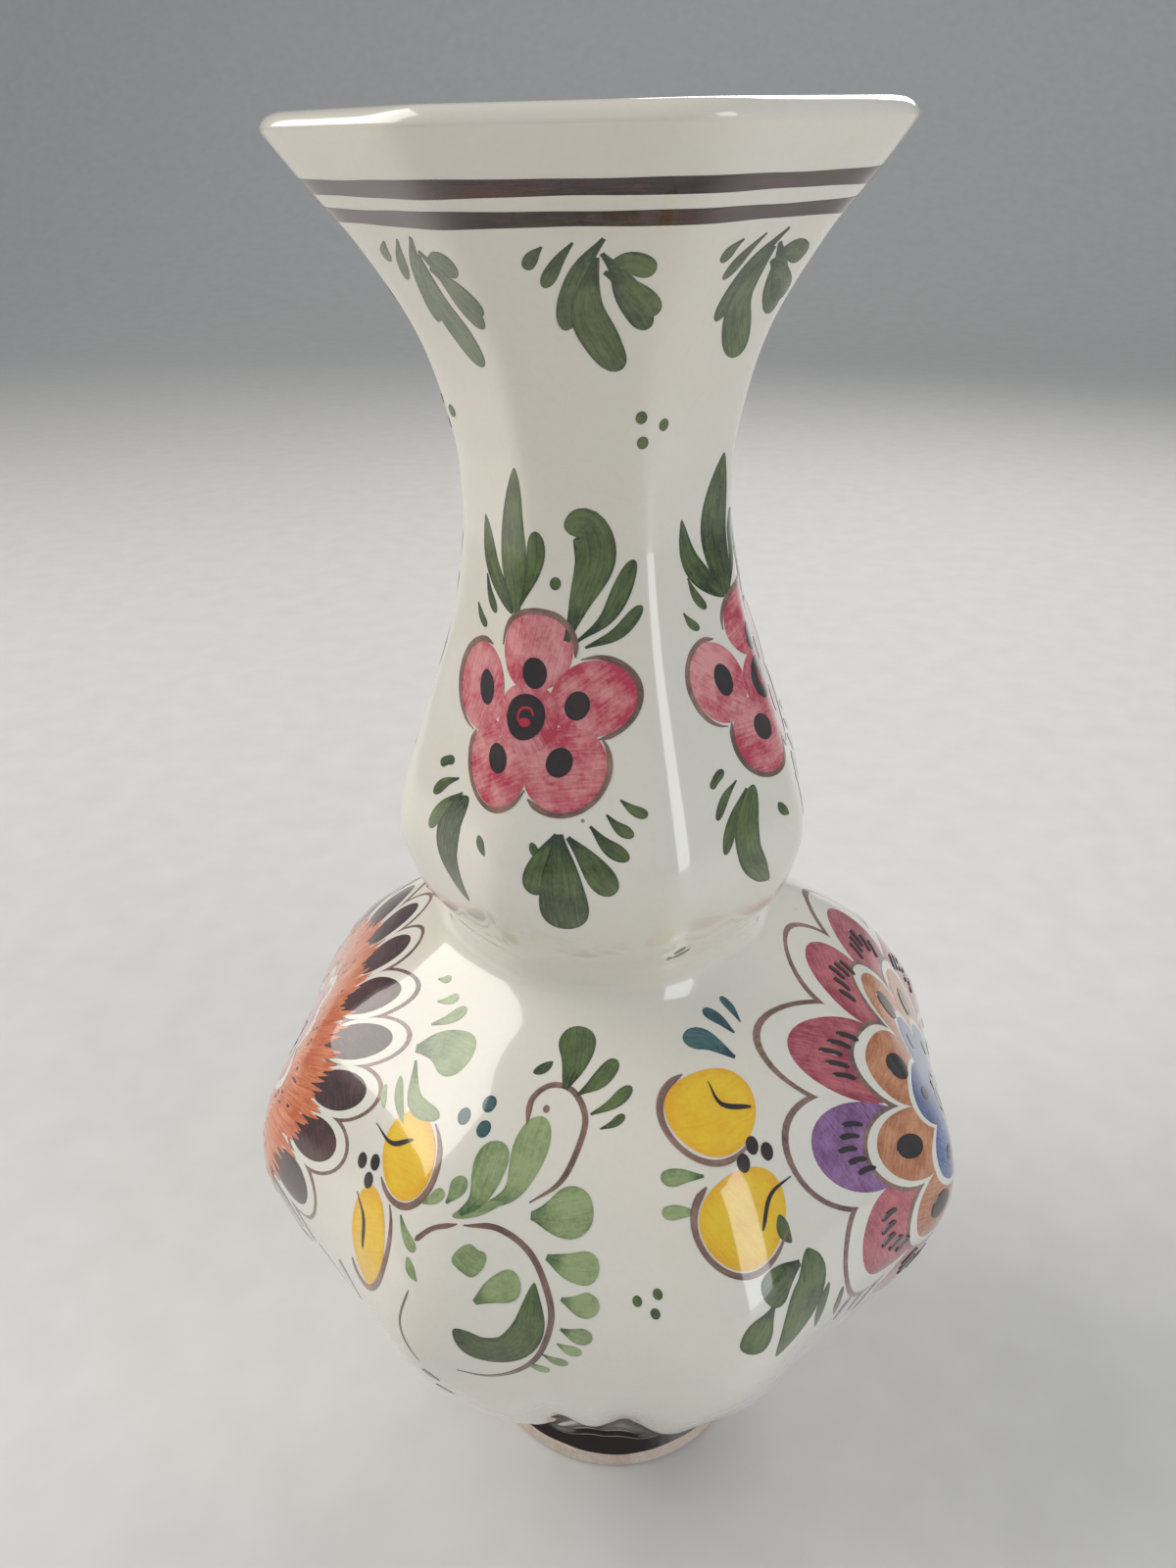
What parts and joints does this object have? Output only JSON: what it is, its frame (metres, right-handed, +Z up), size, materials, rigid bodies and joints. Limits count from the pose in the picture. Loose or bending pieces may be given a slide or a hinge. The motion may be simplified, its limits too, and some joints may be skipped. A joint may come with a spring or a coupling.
{
  "type": "pottery vase",
  "caption": "Tall double-gourd vase with soft flat panels, a lobed lower bowl, a flared mouth and a foot ring, for holding flowers.",
  "frame": {"origin": "centre of the underside, on the plane the foot ring stands on", "axes": "+Z up along the vase's axis; -Y through the middle of the front painted panel; +X to the viewer's right"},
  "size_m": [0.1504, 0.1504, 0.3],
  "materials": {
    "foot_clay": "bare fired clay with an iron-brown wash",
    "glaze": "glossy tin glaze with hand-painted flowers and leaves",
    "slip": "smoothed slip under thin glaze"
  },
  "bodies": {
    "root": {"foot_ring": "foot_clay", "floor_disc": "glaze", "floor_coil": "slip", "lower_bowl": "glaze", "belly_coil": "slip", "shoulder": "glaze", "waist_coil": "slip", "waist_collar": "glaze", "bulb_coil": "slip", "upper_bulb": "glaze", "neck_coil": "slip", "neck": "glaze", "lip_ring": "glaze"}
  },
  "joints": []
}
